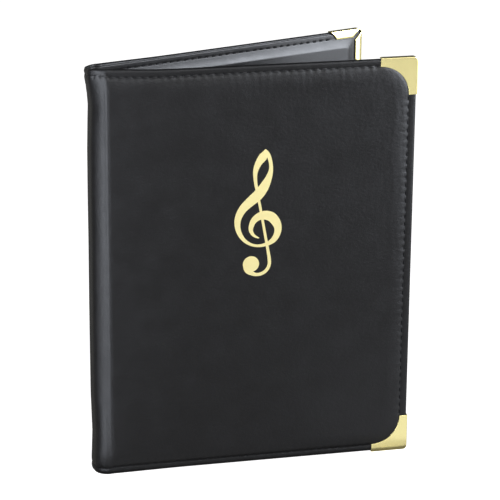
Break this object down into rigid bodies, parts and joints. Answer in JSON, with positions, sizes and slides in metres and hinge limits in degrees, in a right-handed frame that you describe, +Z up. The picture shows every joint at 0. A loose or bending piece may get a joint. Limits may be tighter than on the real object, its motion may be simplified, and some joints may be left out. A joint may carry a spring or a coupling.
{
  "type": "music folder",
  "caption": "Padded black leatherette folder for sheet music, with two hinged covers, inside pockets, brass corners and a gold treble clef.",
  "frame": {"origin": "middle of the folder's plan, on the surface that it stands on, in the part-open pose", "axes": "+Z up along the spine, +X from the spine to the fore edges midway between the covers, front cover on the -Y side"},
  "size_m": [0.2392, 0.1034, 0.31],
  "materials": {
    "leatherette": "fine-grained semi-gloss black leatherette",
    "lining": "satin black leatherette",
    "foam": "soft padding foam",
    "board": "matte grey board",
    "thread": "twisted black thread",
    "brass": "polished pale brass",
    "foil": "hot-stamped matt gold foil"
  },
  "bodies": {
    "spine": {"spine_skin": "leatherette", "spine_lining": "lining", "spine_top_outer_stitching": "thread", "spine_top_inner_stitching": "thread", "spine_bottom_outer_stitching": "thread", "spine_bottom_inner_stitching": "thread"},
    "front_cover": {"front_cover_skin": "leatherette", "front_cover_foam": "foam", "front_cover_board": "board", "front_cover_lining": "lining", "front_pocket": "lining", "front_outer_stitching": "thread", "front_inner_stitching": "thread", "front_top_corner": "brass", "front_bottom_corner": "brass", "treble_clef_foil": "foil"},
    "back_cover": {"back_cover_skin": "leatherette", "back_cover_foam": "foam", "back_cover_board": "board", "back_cover_lining": "lining", "back_pocket": "lining", "back_outer_stitching": "thread", "back_inner_stitching": "thread", "back_top_corner": "brass", "back_bottom_corner": "brass"}
  },
  "joints": [
    {"name": "front_hinge", "type": "hinge", "parent": "spine", "child": "front_cover", "pos_m": [-0.10878, -0.013, 0], "axis": [0, 0, -1], "range_deg": [-9.5, 80.5]},
    {"name": "back_hinge", "type": "hinge", "parent": "spine", "child": "back_cover", "pos_m": [-0.10878, 0.013, 0], "axis": [0, 0, 1], "range_deg": [-9.5, 80.5]}
  ]
}
